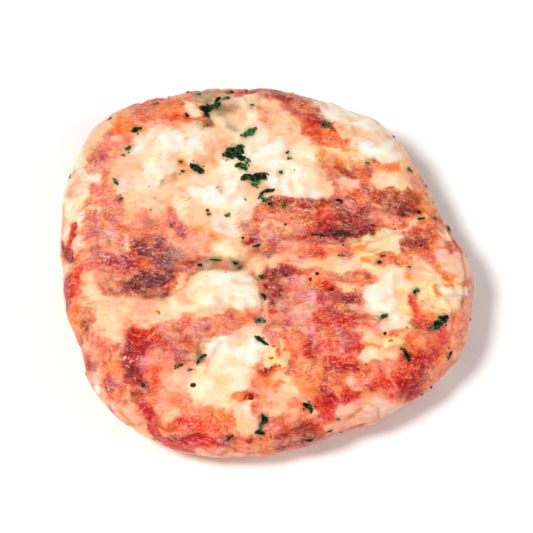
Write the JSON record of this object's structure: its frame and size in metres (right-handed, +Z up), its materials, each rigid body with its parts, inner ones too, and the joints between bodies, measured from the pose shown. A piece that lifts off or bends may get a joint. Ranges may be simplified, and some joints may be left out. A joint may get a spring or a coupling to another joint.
{
  "type": "breakfast sausage patty",
  "caption": "Raw hand-pressed pork breakfast sausage patty, coarsely ground, with pale fat, red lean meat and green herb flakes; a thick uneven disc with a rounded edge",
  "frame": {"origin": "middle of the bounding box in X and Y, on the plane the patty rests on", "axes": "+Z up out of the upper face; the camera of the reference view looks along +Y and down, with +X to the right"},
  "size_m": [0.08, 0.0772, 0.016],
  "materials": {
    "meat": "moist raw ground pork: cream fat and salmon to maroon lean, with a soft wet sheen"
  },
  "bodies": {
    "root": {"patty": "meat"}
  },
  "joints": []
}
